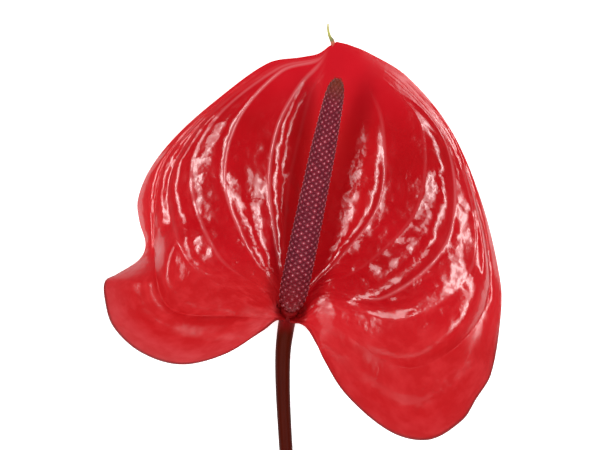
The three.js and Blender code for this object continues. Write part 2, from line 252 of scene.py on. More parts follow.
where = nodes.new("ShaderNodeTexCoord").outputs["Object"]
stretch = nodes.new("ShaderNodeMapping")
stretch.inputs["Scale"].default_value = STREAKS
links.new(where, stretch.inputs["Vector"])
streaks = noise(1.0, 4, vector=stretch.outputs["Vector"])
split = nodes.new("ShaderNodeSeparateXYZ")
links.new(where, split.inputs[0])
near_top = nodes.new("ShaderNodeMapRange")
near_top.interpolation_type = "SMOOTHSTEP"
near_top.inputs["From Min"].default_value = (RED_FROM - FOOTPRINT_CENTRE[1]) * MM
near_top.inputs["From Max"].default_value = (RED_TO - FOOTPRINT_CENTRE[1]) * MM
links.new(split.outputs["Y"], near_top.inputs["Value"])
tone = blend(streaks, STALK_DARK, STALK_RED)
tone = blend(near_top.outputs["Result"], tone, NECK_RED)
links.new(tone, shader.inputs["Base Color"])
shader.inputs["Roughness"].default_value = STALK_ROUGHNESS
shader.inputs["Specular IOR Level"].default_value = STALK_SPECULAR
links.new(bump(streaks, *RIPPLE), shader.inputs["Normal"])

# ---------- Spathe ----------
# One waxy red bract, heart-shaped, grown round the stalk's top with a lobe on each side of it. Its
# veins run from that collar to the tip, sunken, and the blade stands up in blisters between them.
COLLAR_RADIUS = 4.0
CLASP_RADIUS = 2.8                       # the blade's foot closes in on the stalk this far
COLLAR_DEPTH = 1.4                       # below the stalk's top
COLLAR_STEP = 24.0                       # degrees round the collar from one vein to the next
COLLAR_MIDRIB = 92                       # degrees round the collar, where the midrib starts
SPREAD_BY = 0.12                         # the share by which the blade has left the collar's ring
THICKNESS = 0.9
WIDE_GAP = 16                            # blisters of wider gaps are no higher than this one's
WIDE_BLISTER = 20                        # and so is the innermost
FIRST_VEIN = 0.3                         # how plain the vein next to the midrib is
VEIN_RIDGE = 0.06                        # a vein's own thin ridge, along the valley's floor
VEIN_WIDTH = 0.3
RIDGE_RISES = (0.04, 0.12)               # the shares over which it comes up
RIDGE_FADES = (0.7, 0.95)                # and goes
RIDGED_VEINS = 4.5                       # it is fainter on the veins further out than this
PUCKER = 0.15                            # the height of the small waves along each blister
PUCKERS = 11                             # of them from the collar to the tip
PUCKER_SHIFT = 0.37                      # of a wave, from one gap to the next
PUCKER_SLANT = 0.3                       # of a wave, across one gap
PUCKER_LEVEL = 0.6                       # this share of a wave's height is below the blister
PUCKER_WIDTHS = (2, 8)                   # gaps this narrow have none, and this wide all of it
PUCKERED_VEINS = 4.2                     # they are fainter further out than this vein
EDGE_ROLL = 1.2                          # how far the margin is rolled down
EDGE_ROLL_REACH = 2.5
EDGE_ROLL_ENDS = 0.93                    # the share from which it fades towards the tip
EDGE_ROLL_ROOM = 7                       # the outermost gap's width that it needs
STRAIGHT_BELOW = (0.88, 0.97)            # the shares over which the lower face comes to be that
REST_FLAT = 0.35                         # what is lower than this lies flat on the table
STRIPS = 14                              # mesh strips between two veins
CROWDING = 0.7                           # how closely the strips crowd beside the veins
ROWS = 216

VEIN_SHARES = [0.1, 0.3, 0.5, 0.7, 0.85, 0.95]
MIDRIB = [[0.5, 6], [2.5, 16], [5.5, 34.5], [8.5, 56.5], [11, 72.5], [13.2, 81.8]]
LEFT_VEINS = [
    [[-1, 6.5], [-2, 19], [-0.5, 40.5], [3.5, 59], [6.8, 71.5], [11, 79.8]],
    [[-2.5, 6.5], [-4.5, 21], [-7, 42], [-4, 60.5], [3.2, 74], [9.6, 81]],
    [[-5.5, 8], [-14.5, 22], [-21.5, 43], [-17, 63], [-3, 78.6], [9.5, 82.6]],
    [[-8.5, 6.5], [-24, 18.5], [-32.5, 43], [-24.5, 63], [-4.2, 79.4], [9.4, 83]],
    [[-13, 4], [-33, 15.5], [-40, 41], [-28, 62.5], [-5.1, 80], [9.3, 83.3]],
    [[-16, -2], [-41.5, 3], [-43.5, 41], [-31, 61.5], [-6.1, 80.6], [9.2, 83.7]],
]
RIGHT_VEINS = [
    [[2.5, 6.5], [7.5, 17], [14, 36.5], [19, 57], [19.8, 72], [16.3, 82.3]],
    [[5, 6], [16.5, 17], [29.5, 35.5], [30.5, 59.5], [26, 73.3], [17.8, 83]],
    [[8, 6.5], [25.5, 15.5], [42, 34], [43.5, 59.5], [33, 74.2], [19.1, 83.8]],
    [[10.5, 5], [31.5, 4.5], [52, 23], [52, 53.5], [35.8, 74.8], [20.2, 85.1]],
    [[12, 1.5], [38, -2.5], [60.5, 16], [54.5, 52.5], [36.7, 75.4], [20.5, 85.6]],
    [[12, -4.2], [41, -19], [65.5, 4.5], [56, 52], [37.6, 76], [20.9, 86.1]],
]
TIP = (14, 87.6)
LEFT_MARGIN = [                          # share, x, y, z, from the collar round to the tip
    [0.015, -4.6, -3.2, 13.7], [0.04, -9, -6.6, 12.2], [0.1, -21.5, -14.5, 9],
    [0.16, -36, -18, 4.5], [0.22, -49.5, -14, 0.7], [0.27, -58.5, -5.5, 1.6],
    [0.31, -61.2, 3.5, 3], [0.338, -61, 9.7, 4.2], [0.355, -57, 12, 4.2],
    [0.375, -50, 16.5, 3], [0.4, -47.8, 21.5, 1.8], [0.44, -49.8, 29, 0.7],
    [0.48, -50.4, 36, 1.8], [0.55, -46.5, 46, 4.5], [0.65, -37.5, 57.5, 6],
    [0.75, -24, 69.5, 6.5], [0.85, -7.3, 81.4, 7], [0.91, 3.5, 83.3, 7.8],
    [0.95, 9.1, 84.4, 8.2], [1, 12.8, 86.9, 8.4],
]
RIGHT_MARGIN = [
    [0.02, 4.1, -4.1, 13.8], [0.05, 7.2, -7.2, 12.2], [0.1, 11, -16, 9.5],
    [0.17, 19, -28.5, 5], [0.24, 33.5, -40.5, 1.2], [0.29, 46, -43, 0.7],
    [0.34, 57, -36.5, 1.4], [0.37, 61.5, -29.5, 2.4], [0.405, 66.5, -21, 2.6],
    [0.47, 69.7, -1.5, 1.8], [0.515, 69.5, 10, 0.7], [0.62, 63.5, 35, 3.5],
    [0.74, 53, 59.5, 6.5], [0.85, 38.5, 77, 7.5], [0.92, 26.4, 84.5, 8],
    [0.96, 20, 87.2, 8.2], [1, 15.4, 88.4, 8.4],
]
MIDRIB_HEIGHT = [
    [0, 11], [0.1, 10.6], [0.3, 8.6], [0.5, 7.6], [0.7, 7.8], [0.9, 8.6], [1, 8.4],
]
CREST_HEIGHT = [                         # of each half, over a straight line from midrib to margin
    [0, 0], [0.1, 1.2], [0.3, 2.4], [0.5, 2.4], [0.7, 1.8], [0.85, 0.6], [0.95, 0.1], [1, 0],
]
CREST_PLACE = {-1: 0.66, 1: 0.7}         # its share of the way out to the margin
# Each blister between two veins, from the midrib out: its height for each mm of its width, the
# shares of the veins' length where it starts and ends, and its top's share of the way across. The
# vein next to the midrib is too faint to part its two gaps.
BLISTERS = {
    -1: [[0.1, 0.1, 1, 0.75], [0.15, 0, 0.62, 0.55], [0.09, 0.35, 1, 0.3],
         [0.12, 0.15, 0.85, 0.65], [0.1, -0.1, 0.9, 0.6], [0.16, -0.1, 0.9, 0.4]],
    1: [[0.08, -0.2, 0.8, 0.8], [0.04, 0, 0.75, 0.4], [0.15, 0.08, 0.75, 0.6],
        [0.09, 0, 0.6, 0.5], [0.13, 0.1, 0.9, 0.65], [0.1, 0, 0.8, 0.5]],
}
BLISTER_RISE = 0.3                       # the share over which one rises to its height
CUSP = [                                 # share, x, y, z, radius of the thread at the tip
    [0.00, 14.0, 86.6, 8.0, 0.35],
    [0.30, 14.0, 88.4, 8.3, 0.75],
    [0.60, 13.0, 90.3, 9.6, 0.5],
    [0.85, 12.5, 92.6, 11.4, 0.4],
    [1.00, 12.5, 94.0, 13.0, 0.3],
]
GAPS = len(LEFT_VEINS) + 1               # between veins, on each side


def stalk_end():
    """The stalk's top in mm, and the way it points there."""
    (before, top, after), _ = stalk_line([0.998, 1.0, 1.002])
    return top, unit(after - before)


def collar_point(vein, radius=COLLAR_RADIUS):
    """A point of the ring that every vein starts from; left veins count below zero."""
    top, direction = stalk_end()
    right = unit(np.array([direction[1], -direction[0], 0]))
    back = np.cross(direction, right)
    angle = math.radians(COLLAR_MIDRIB - COLLAR_STEP * vein)
    centre = top - direction * COLLAR_DEPTH
    return centre + radius * (right * math.cos(angle) + back * math.sin(angle))


def smoothstep(x, low, high):
    u = np.clip((x - low) / (high - low), 0, 1)
    return u * u * (3 - 2 * u)


def vein_path(points, vein, s):
    """The vein's x and y at shares s of its length."""
    margin_end = (LEFT_MARGIN if vein < 0 else RIGHT_MARGIN)[-1][1:3]
    end = np.array(TIP) + (np.array(margin_end) - TIP) * abs(vein) / GAPS
    middle = [[share, *p] for share, p in zip(VEIN_SHARES, points)]
    return through([[0, *collar_point(vein)[:2]], *middle, [1, *end]], s)


def half_blade(sign, veins, margin, s):
    """One side of the blade's upper face, from the midrib out, with what the skin needs to know."""
    # In plan: each row crosses the veins and ends at the margin, with strips in every gap.
    edge = through([[0, *collar_point(sign * GAPS)], *margin], s)
    posts = [vein_path(MIDRIB, 0, s)]
    posts += [vein_path(points, sign * (k + 1), s) for k, points in enumerate(veins)]
    posts = np.stack([*posts, edge[:, :2]], 1)
    widths = np.linalg.norm(np.diff(posts, axis=1), axis=2)
    knots = np.concatenate([np.zeros((len(s), 1)), np.cumsum(widths, 1)], 1)
    even = np.arange(GAPS * STRIPS + 1) / STRIPS
    gap = np.minimum(np.floor(even).astype(int), GAPS - 1)
    inside = even - gap
    inside = inside - CROWDING * np.sin(2 * np.pi * inside) / (2 * np.pi)
    vein = gap + inside
    plan = np.stack([
        through(np.column_stack([knots[i], posts[i]]), knots[i, gap] + widths[i, gap] * inside)
        for i in range(len(s))])
    steps = np.linalg.norm(np.diff(plan, axis=1), axis=2)
    reach = np.concatenate([np.zeros((len(s), 1)), np.cumsum(steps, 1)], 1)
    width = reach[:, -1:]
    u = reach / width
    column = s[:, None]
    # The dome goes from the midrib over the crest and down to the rolled margin.
    settled = smoothstep(column, 0, SPREAD_BY)
    roll = EDGE_ROLL * settled * (1 - smoothstep(column, EDGE_ROLL_ENDS, 1))
    roll = roll * smoothstep(widths[:, -1:], 0, EDGE_ROLL_ROOM)
    midrib, crest = through(MIDRIB_HEIGHT, s), through(CREST_HEIGHT, s)
    place = CREST_PLACE[sign]
    lift = np.sin(np.pi * u ** (math.log(0.5) / math.log(place)))
    dome = midrib + (edge[:, 2:] + roll - midrib) * u ** 3 + crest * lift
    dome -= roll * np.exp((reach - width) / EDGE_ROLL_REACH)
    gap_width = widths[:, gap]
    # Small waves lie along the blisters.
    wave = PUCKERS * column + PUCKER_SHIFT * gap * sign + PUCKER_SLANT * vein
    pucker = PUCKER * (np.abs(np.sin(np.pi * wave)) - PUCKER_LEVEL)
    pucker = pucker * smoothstep(gap_width, *PUCKER_WIDTHS)
    pucker = pucker * (1 - smoothstep(vein, PUCKERED_VEINS, GAPS))
    # A blister fills each gap, but the two gaps beside the midrib make one together.
    inner_width = reach[:, 2 * STRIPS, None]
    span = np.where(
        vein < 2, np.minimum(inner_width, WIDE_BLISTER), np.minimum(gap_width, WIDE_GAP))
    way_up = np.where(vein < 2, np.minimum(reach / inner_width, 1), inside)
    height, start, end, blister_top = np.array(BLISTERS[sign])[np.maximum(gap - 1, 0)].T
    swell = smoothstep(column, start, start + BLISTER_RISE)
    swell = swell * (1 - smoothstep(column, end - BLISTER_RISE, end))
    blister = np.sin(np.pi * way_up ** (np.log(0.5) / np.log(blister_top)))
    relief = height * span * swell * blister
    relief = relief + np.sin(np.pi * inside) * pucker
    # Each vein is a thin ridge on the floor of its valley.
    nearest = np.round(vein)
    weight = np.where(nearest == 1, FIRST_VEIN, 1)
    weight = weight * (1 - smoothstep(nearest, RIDGED_VEINS, GAPS))
    off_vein = np.minimum(inside, 1 - inside) * gap_width
    fading = smoothstep(column, *RIDGE_RISES) * (1 - smoothstep(column, *RIDGE_FADES))
    relief = relief + VEIN_RIDGE * weight * fading * np.exp(-(off_vein / VEIN_WIDTH) ** 2)
    ring = np.array([collar_point(sign * v)[2] for v in vein])
    z = ring + (dome + relief - ring) * settled
    return np.dstack([plan, z]), sign * np.broadcast_to(vein, z.shape), off_vein, width - reach


def join_halves(left, right):
    return np.concatenate([left[:, :0:-1], right], 1)


s = np.linspace(0, 1, ROWS + 1)
left = half_blade(-1, LEFT_VEINS, LEFT_MARGIN, s)
right = half_blade(1, RIGHT_VEINS, RIGHT_MARGIN, s)
upper, vein, off_vein, off_edge = [join_halves(a, b) for a, b in zip(left, right)]
clasp = [collar_point(v, CLASP_RADIUS) for v in vein[0]]
upper = np.concatenate([[clasp], upper])
vein, off_vein, off_edge = [np.concatenate([a[:1], a]) for a in (vein, off_vein, off_edge)]
s = np.concatenate([[0], s])
rows, columns = vein.shape
across = np.gradient(upper, axis=1)
along = np.gradient(upper, axis=0)
normal = unit(np.cross(across, along))
upright = smoothstep(s, *STRAIGHT_BELOW)[:, None, None]
normal = unit(normal * (1 - upright) + np.array([0, 0, 1]) * upright)
lower = upper - THICKNESS * normal
lower[..., 2] = np.where(lower[..., 2] < REST_FLAT, 0, lower[..., 2])

index = np.arange(rows * columns).reshape(rows, columns)
a, b, c, d = index[:-1, :-1], index[:-1, 1:], index[1:, 1:], index[1:, :-1]
faces = [np.stack([a, b, c, d], -1).reshape(-1, 4)]
faces.append(faces[0][:, ::-1] + index.size)
outline = np.concatenate([index[0, :-1], index[:-1, -1], index[-1, :0:-1], index[:0:-1, 0]])
after = np.roll(outline, -1)
faces.append(np.stack([outline + index.size, after + index.size, after, outline], -1))
blade = np.concatenate([upper.reshape(-1, 3), lower.reshape(-1, 3)])

# The cusp is the blade's own dried drip tip, a thread that runs on from the midrib.
CUSP_SIDES = 12
CUSP_RINGS = 24
t = np.linspace(0, 1, CUSP_RINGS)
thread = through(CUSP, t)
direction = unit(np.gradient(thread[:, :3], axis=0))
side = unit(np.cross(direction, [0, 0, 1]))
over = np.cross(side, direction)
turn = 2 * np.pi * np.arange(CUSP_SIDES) / CUSP_SIDES
rings = thread[:, None, :3] + thread[:, None, 3:] * (
    side[:, None] * np.cos(turn)[:, None] + over[:, None] * np.sin(turn)[:, None])
start = len(blade)
ring = start + np.arange(CUSP_RINGS * CUSP_SIDES).reshape(CUSP_RINGS, CUSP_SIDES)
beside = np.roll(ring, -1, axis=1)
faces.append(np.stack([ring[:-1], ring[1:], beside[1:], beside[:-1]], -1).reshape(-1, 4))
points = np.concatenate([blade, rings.reshape(-1, 3)])
ends = [list(ring[0]), list(ring[-1][::-1])]

mesh = bpy.data.meshes.new("spathe")
mesh.from_pydata(placed(points), [], [*np.concatenate(faces).tolist(), *ends])
mesh.polygons.foreach_set("use_smooth", [True] * len(mesh.polygons))

# The skin is told of each point which vein it lies at, how far along and how far off that vein,
# and how much it belongs to the places that look different.
# The pale vein lines are partly painted highlight, light caught along the veins' ridges.
PALE_AND_HIGHLIT_VEINS = [                           # how pale each vein's line is, from the midrib out
    [0, 0.1, 0.8, 1, 0.6, 0.1, 0, 0],    # on the left
    [0, 0, 0.5, 0.2, 0.8, 0.3, 0, 0],    # and on the right
]
PALE_RISES = (0.15, 0.45)                # the shares over which those lines come up
PALE_FADES = [[0.92, 1.0], [0.6, 0.85]]  # and go, on the left and on the right
LOBE_LEFT, LOBE_RIGHT = 4, -16           # y below which all is lobe
LOBE_FADE = 18                           # and so far above it nothing is
DULL_RISE = 9                            # so much higher the right lobe is dull near the stalk
DULL_NEAR = (10, 30)                     # x over which that ends
# The lobes' pale rims are painted reflection, a sheen where their margins roll away.
SHEEN_RIM_LEFT, SHEEN_RIM_RIGHT = 1, 0.3             # how pale the lobes' broad rims are
RIM_WIDTH = (3, 11)                      # all rim and none, so far in from the margin
EDGE_WIDTH = (0.4, 1.0)                  # the same for the lobes' thin dark edge
# The dark round patch about the neck is painted shade.
NECK_SHADE_PLACE = (0.5, -0.5)
NECK_SHADE_WIDTH = (4.0, 6.3)                  # and for the dark round patch about the neck


def point_attribute(name, values, on_thread=0):
    """Keeps a value for each point of both faces and of the thread."""
    flat = np.ravel(values)
    values = np.concatenate([flat, flat, np.broadcast_to(on_thread, CUSP_RINGS * CUSP_SIDES)])
    mesh.attributes.new(name, "FLOAT", "POINT").data.foreach_set("value", values)


side = np.where(vein < 0, 0, 1)
column = s[:, None]
pale = np.array(PALE_AND_HIGHLIT_VEINS)[side, np.round(np.abs(vein)).astype(int)]
pale = pale * smoothstep(column, *PALE_RISES)
pale = pale * (1 - smoothstep(column, *np.array(PALE_FADES)[side].transpose(2, 0, 1)))
x, y = upper[..., 0], upper[..., 1]
low = np.where(vein < 0, LOBE_LEFT, LOBE_RIGHT)
lobe = 1 - smoothstep(y, low, low + LOBE_FADE)
near_stalk = 1 - smoothstep(x, *DULL_NEAR)
dull_low = np.where(vein < 0, LOBE_LEFT, LOBE_RIGHT + DULL_RISE * near_stalk)
rim = lobe * np.where(vein < 0, SHEEN_RIM_LEFT, SHEEN_RIM_RIGHT) * (1 - smoothstep(off_edge, *RIM_WIDTH))
off_neck = np.hypot(x - NECK_SHADE_PLACE[0], y - NECK_SHADE_PLACE[1])
point_attribute("vein", vein)
point_attribute("share", np.broadcast_to(column, vein.shape), 1)
point_attribute("off_vein", off_vein)
point_attribute("pale_and_highlit_vein", pale)
point_attribute("lobe", lobe)
point_attribute("dull", 1 - smoothstep(y, dull_low, dull_low + LOBE_FADE))
point_attribute("rim", rim)
point_attribute("edge", lobe * (1 - smoothstep(off_edge, *EDGE_WIDTH)))
# painted shade: the dark patch round the neck
point_attribute("collar", 1 - smoothstep(off_neck, *NECK_SHADE_WIDTH))
point_attribute("cusp", np.zeros(vein.shape), np.repeat(t, CUSP_SIDES))
spathe = bpy.data.objects.new("spathe_blade", mesh)
bpy.context.collection.objects.link(spathe)
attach(spathe, "root")
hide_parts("spathe")

# The spathe's skin is wax over deep red, brighter outwards and at the tip, and brighter along the
# midrib by painted light that lifts the spadix's shadow. Its veins are fine pale lines, partly
# painted highlight where the light catches their ridges. The lobes have a dull bloom and a rim
# paled by painted reflection, with a thin dark edge, and round the stalk painted shade makes it
# darkest. The thread at the tip has dried green.
DEEP_RED = (0.33, 0.0008, 0.0030)
BRIGHT_RED = (0.40, 0.0020, 0.0060)
TIP_RED = (0.51, 0.0050, 0.0125)
OUTER_RED = (0.50, 0.0080, 0.0125)
LOBE_RED = (0.400, 0.0060, 0.0080)
# painted light: a brighter red along the midrib that lifts the spadix's shadow there
MIDRIB_PAINTED_LIGHT = (0.50, 0.0060, 0.0080)
STREAK_RED = (0.53, 0.0260, 0.0300)
# painted reflection on the lobes' rims
RIM_SHEEN_RED = (0.48, 0.0380, 0.0430)
# the veins' pale lines, partly painted highlight along their ridges
VEIN_PINK_HIGHLIGHT = (0.62, 0.1500, 0.1600)
# the lobes' thin dark edge, and the painted shade round the neck
EDGE_AND_NECK_SHADE_RED = (0.20, 0.0025, 0.0035)
THREAD_BROWN = (0.55, 0.16, 0.09)        # where the thread leaves the blade
THREAD_DARK = (0.17, 0.17, 0.07)
THREAD_GREEN = (0.42, 0.42, 0.10)
THREAD_STRAW = (0.50, 0.46, 0.16)        # and at its end
MOTTLE_SCALE = 55                        # patterns to the metre
PATCH_SCALE = 90
DRIFT_SCALE = 260
NET_SCALE = 330
STREAKS_ACROSS, STREAKS_ALONG = 3.5, 22  # to one gap, and from the collar to the tip
CELLS_ACROSS, CELLS_ALONG = 1.4, 24      # of the quilt, likewise
NET_DRIFT = (0.003, 0.003, 0.003)        # how far the net's cells are pushed about, in metres
CELL_DRIFT = (1.2, 0.8, 0)               # and the quilt's, in cells
WAX_SPECULAR = 0.05
WAX_COAT_ROUGHNESS = 0.15
GRAIN_SCALE, SWELL_SCALE = 420, 170
GRAIN = (0.3, 0.00012)                   # each relief's strength, and depth in metres
SWELL = (0.5, 0.0012)
PILLOW = (0.5, 0.0005)
CREASE = (0.12, 0.00003)

spathe_skin, nodes, links, shader = new_skin("spathe_skin")
mesh.materials.append(spathe_skin)


def attribute(name):
    node = nodes.new("ShaderNodeAttribute")
    node.attribute_name = name
    return node.outputs["Fac"]


def ramp(source, *stops):
    """A smooth ramp through (position, colour) stops; a bare number is a grey."""
    node = nodes.new("ShaderNodeValToRGB")
    elements = node.color_ramp.elements
    while len(elements) < len(stops):
        elements.new(0.5)
    for element, (position, colour) in zip(elements, stops):
        element.position = position
        element.color = (*colour, 1) if isinstance(colour, tuple) else (colour, colour, colour, 1)
    links.new(source, node.inputs["Fac"])
    return node.outputs["Color"]


def compute(kind, first, second=0):
    """One step of arithmetic; each of the two is a socket or a plain number."""
    node = nodes.new("ShaderNodeMath")
    node.operation = kind
    for socket, value in zip(node.inputs, (first, second)):
        if isinstance(value, bpy.types.NodeSocket):
            links.new(value, socket)
        else:
            socket.default_value = value
    return node.outputs[0]


def times(first, second):
    return compute("MULTIPLY", first, second)


def varied(source, least):
    """A value from least to one, as the source goes from nothing to one."""
    return compute("ADD", least, times(source, 1 - least))


def blade_place(x, y):
    """Two values as a place, for a pattern that follows the blade."""
    node = nodes.new("ShaderNodeCombineXYZ")
    links.new(x, node.inputs["X"])
    links.new(y, node.inputs["Y"])
    return node.outputs[0]


# First the tones, each laid over the one before.
tone = ramp(noise(MOTTLE_SCALE, 4), (0.32, DEEP_RED), (0.68, BRIGHT_RED))
outward = compute("DIVIDE", compute("ABSOLUTE", attribute("vein")), GAPS)
tone = blend(ramp(outward, (0.55, 0.0), (0.9, 1.0)), tone, OUTER_RED)
# painted light along the midrib, against the spadix's shadow
tone = blend(ramp(outward, (0.03, 1.0), (0.3, 0.0)), tone, MIDRIB_PAINTED_LIGHT)
tone = blend(ramp(attribute("share"), (0.7, 0.0), (0.92, 1.0)), tone, TIP_RED)
tone = blend(attribute("lobe"), tone, LOBE_RED)
streak_place = blade_place(
    times(attribute("vein"), STREAKS_ACROSS), times(attribute("share"), STREAKS_ALONG))
streaks = ramp(noise(1, 3, 0.6, streak_place), (0.45, 0.0), (0.75, 1.0))
tone = blend(times(streaks, ramp(outward, (0.4, 0.0), (0.75, 0.6))), tone, STREAK_RED)
# the pale vein lines, partly painted highlight along their ridges
vein_line = ramp(attribute("off_vein"), (0.0, 0.6), (0.35, 0.4), (0.9, 0.0))
tone = blend(times(vein_line, attribute("pale_and_highlit_vein")), tone, VEIN_PINK_HIGHLIGHT)
# painted reflection: the lobes' pale rims
tone = blend(times(attribute("rim"), varied(streaks, 0.4)), tone, RIM_SHEEN_RED)
tone = blend(attribute("edge"), tone, EDGE_AND_NECK_SHADE_RED)
# painted shade round the neck
tone = blend(attribute("collar"), tone, EDGE_AND_NECK_SHADE_RED)
thread_tone = ramp(
    attribute("cusp"), (0.0, BRIGHT_RED), (0.28, THREAD_BROWN), (0.42, THREAD_DARK),
    (0.7, THREAD_GREEN), (1.0, THREAD_STRAW))
on_thread = ramp(attribute("cusp"), (0.02, 0.0), (0.10, 1.0))
links.new(blend(on_thread, tone, thread_tone), shader.inputs["Base Color"])

# Then the gloss, which the bloom takes away.
patches = ramp(noise(PATCH_SCALE, 4), (0.35, 0.0), (0.65, 1.0))
bloom = times(attribute("dull"), varied(patches, 0.8))
shine = ramp(bloom, (0.0, 0.95), (0.75, 0.14), (1.0, 0.02))
shine = times(shine, ramp(attribute("collar"), (0.0, 1.0), (1.0, 0.15)))
links.new(ramp(bloom, (0.0, 0.3), (1.0, 0.5)), shader.inputs["Roughness"])
links.new(shine, shader.inputs["Coat Weight"])
shader.inputs["Specular IOR Level"].default_value = WAX_SPECULAR
shader.inputs["Coat Roughness"].default_value = WAX_COAT_ROUGHNESS

# Last the relief. Between two veins the blade is quilted by its cross veins, in cells longer across
# than along, and a fine net of small veins lies over all of it.
drift = nodes.new("ShaderNodeTexNoise")
drift.inputs["Scale"].default_value = DRIFT_SCALE
links.new(nodes.new("ShaderNodeTexCoord").outputs["Object"], drift.inputs["Vector"])


def drifted(place, amount):
    """The place pushed about at random, by an amount each way."""
    node = nodes.new("ShaderNodeVectorMath")
    node.operation = "MULTIPLY_ADD"
    links.new(drift.outputs["Color"], node.inputs[0])
    node.inputs[1].default_value = amount
    links.new(place, node.inputs[2])
    return node.outputs[0]


net = nodes.new("ShaderNodeTexVoronoi")
net.feature = "DISTANCE_TO_EDGE"
net.inputs["Scale"].default_value = NET_SCALE
net_place = nodes.new("ShaderNodeTexCoord").outputs["Object"]
links.new(drifted(net_place, NET_DRIFT), net.inputs["Vector"])
creases = ramp(net.outputs["Distance"], (0.0, 0.0), (0.16, 1.0))
quilt = nodes.new("ShaderNodeTexVoronoi")
quilt.feature = "SMOOTH_F1"
quilt.inputs["Scale"].default_value = 1.0
quilt.inputs["Smoothness"].default_value = 0.5
quilt_place = blade_place(
    times(attribute("share"), CELLS_ALONG), times(attribute("vein"), CELLS_ACROSS))
links.new(drifted(quilt_place, CELL_DRIFT), quilt.inputs["Vector"])
taut = ramp(attribute("share"), (0.6, 1.0), (0.85, 0.0))
pillows = times(ramp(quilt.outputs["Distance"], (0.0, 1.0), (0.8, 0.0)), taut)
flat = times(taut, ramp(attribute("lobe"), (0.0, 1.0), (0.7, 0.25)))
relief = bump(noise(GRAIN_SCALE, 1), *GRAIN)
relief = bump(times(noise(SWELL_SCALE, 1), flat), *SWELL, relief)
relief = bump(pillows, *PILLOW, relief)
relief = bump(creases, *CREASE, relief)
links.new(relief, shader.inputs["Normal"])
links.new(relief, shader.inputs["Coat Normal"])

# ---------- Spadix ----------
# A fleshy spike, maroon, that grows on from the stalk's end and leans out over the spathe. Hundreds
# of tiny flowers cover it in staggered rows, each a lozenge of four scales with a pale stigma;
# towards the tip they are shut.
SPADIX = [                               # share, x, y, z of its middle line above the foot
    [0.063, 0.8, 4.2, 17.3],
    [0.136, 1.9, 9.5, 18.5],
    [0.50, 7.7, 37.3, 22.0],
    [1.00, 15.6, 75.5, 28.0],
]
SPADIX_RADIUS = [                        # share, radius
    [0.00, 1.5], [0.03, 3.2], [0.07, 4.1], [0.12, 4.4], [0.35, 4.3], [0.50, 4.1],
    [0.70, 3.8], [0.80, 3.45], [0.92, 2.9], [0.96, 2.5], [0.985, 1.8], [1.00, 0.9],
]
FOOT_GAP = 0.75                          # from the stalk's rim to the spike's foot
FLORETS_PER_ROW = 10
FLORET_ROWS = 78
FLORET_LENGTH = 1.02                     # half of it, along the spike
FLORET_WIDTH = 1.12                      # half of it, round the spike
FULL_RADIUS = 4.35                       # the spike's, where the florets have their full width
FLORET_SIDES = 8
FLORET_WAIST = 0.72                      # a groove's reach beside a scale's
FLORET_RINGS = [                         # size, height on a scale, height in a groove
    (1.00, -0.30, -0.30), (1.00, 0.00, 0.00), (0.80, 0.20, 0.14), (0.42, 0.27, 0.17),
]
STIGMA_RINGS = [                         # radius, height
    (0.19, 0.26), (0.12, 0.43),
]
STIGMA_TOP = 0.48
SHUT_SHARE = 0.07                        # of the spike's length, at the tip
OPENING_ROWS = 3.0                       # the lowest rows, which are still partly shut
SHUT_HEIGHT = 0.25                       # of a shut flower beside an open one
FLOWER_SEED = 3
SPIKE_RINGS = 160
CORE_SIDES = 32

top, direction = stalk_end()
foot = top + direction * FOOT_GAP
t = np.linspace(0, 1, SPIKE_RINGS)
centres = through([[0, *foot], *SPADIX], t)
radii = through(SPADIX_RADIUS, t)[:, 0]
line = middle_line("spadix_line", centres, radii)


def floret():
    """One flower: a lozenge of four scales round a stigma, seen from its own root, +Z outwards."""
    form = bmesh.new()
    stigma = form.verts.layers.float.new("stigma")
    groove = form.verts.layers.float.new("groove")

    def loop(reaches, heights, is_stigma, is_groove):
        made = []
        for turn in range(FLORET_SIDES):
            angle = 2 * math.pi * turn / FLORET_SIDES
            along, across = reaches[turn % 2]
            x, y = along * math.cos(angle), across * math.sin(angle)
            vert = form.verts.new((x * MM, y * MM, heights[turn % 2] * MM))
            vert[stigma], vert[groove] = is_stigma, is_groove
            made.append(vert)
        return made

    loops = []
    for size, *heights in FLORET_RINGS:
        reaches = [
            (size * share * FLORET_LENGTH, size * share * FLORET_WIDTH)
            for share in (1.0, FLORET_WAIST)]
        loops.append(loop(reaches, heights, 0, size == 1.0))
    for radius, height in STIGMA_RINGS:
        loops.append(loop([(radius, radius)] * 2, [height] * 2, 1, 0))
    for low, high in zip(loops, loops[1:]):
        for k in range(FLORET_SIDES):
            after = (k + 1) % FLORET_SIDES
            form.faces.new([low[k], low[after], high[after], high[k]])
    summit = form.verts.new((0, 0, STIGMA_TOP * MM))
    summit[stigma] = 1
    for k in range(FLORET_SIDES):
        form.faces.new([loops[-1][k], loops[-1][(k + 1) % FLORET_SIDES], summit])
    form.faces.new(loops[0][::-1])
    for face in form.faces:
        face.smooth = True
    mesh = bpy.data.meshes.new("floret")
    form.to_mesh(mesh)
    form.free()
    return mesh


